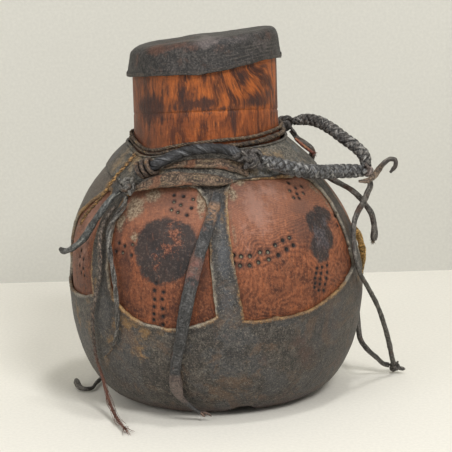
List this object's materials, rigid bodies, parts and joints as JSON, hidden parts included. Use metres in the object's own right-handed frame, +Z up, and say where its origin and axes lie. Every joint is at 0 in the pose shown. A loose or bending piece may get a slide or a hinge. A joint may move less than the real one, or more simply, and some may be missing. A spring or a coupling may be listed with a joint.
{
  "type": "milk gourd",
  "caption": "Hollow wooden milk vessel with an oblique neck, shrunk hide jacket with cut windows, moulded leather cap, plaited carrying loop and hanging thongs.",
  "frame": {"origin": "centre of the jacket's flat base, on the ground", "axes": "+Z up, -Y out of the front with the middle strap, +X to the right of the front, where the carrying loop stands out"},
  "size_m": [0.2359, 0.2079, 0.2547],
  "materials": {
    "wood": "worn satin, oiled and smoke-darkened",
    "hide": "dry rawhide, greyed and worn",
    "yoke_leather": "dry, dusty, creased",
    "cap_leather": "moulded, satin from handling",
    "plaited_leather": "plaited strands, dull",
    "grey_thong": "stiff, dusty",
    "brown_cord": "twisted, fraying"
  },
  "bodies": {
    "vessel": {"wooden_flask": "wood", "hide_jacket": "hide", "shoulder_yoke": "yoke_leather", "yoke_lower_roll": "yoke_leather", "yoke_upper_roll": "yoke_leather", "neck_lashing": "brown_cord", "loop_rope": "plaited_leather", "rope_wrapping": "brown_cord", "front_knot": "plaited_leather", "rear_knot": "plaited_leather", "frayed_tab": "brown_cord", "left_knot": "grey_thong", "front_thong": "grey_thong", "left_stub_thong": "grey_thong", "left_flat_thong": "grey_thong", "left_frayed_cord": "brown_cord", "shoulder_cord": "brown_cord", "right_stub_thong": "grey_thong", "tip_tether": "grey_thong", "tether_knot": "grey_thong", "rear_right_thong": "grey_thong", "rear_left_thong": "grey_thong"},
    "lid": {"leather_cap": "cap_leather", "cap_hem": "cap_leather"},
    "carry_loop": {"loop_front_braid": "plaited_leather", "loop_rear_braid": "plaited_leather", "loop_tip_knot": "plaited_leather", "loop_tip_tail": "brown_cord"}
  },
  "joints": [
    {"name": "lid_lift", "type": "slide", "parent": "vessel", "child": "lid", "axis": [0, 0, 1], "range_m": [0, 0.08]},
    {"name": "loop_swing", "type": "hinge", "parent": "vessel", "child": "carry_loop", "pos_m": [0.02633, -0.06404, 0.1744], "axis": [-0.271, -0.9578, -0.096], "range_deg": [0, 60]}
  ]
}
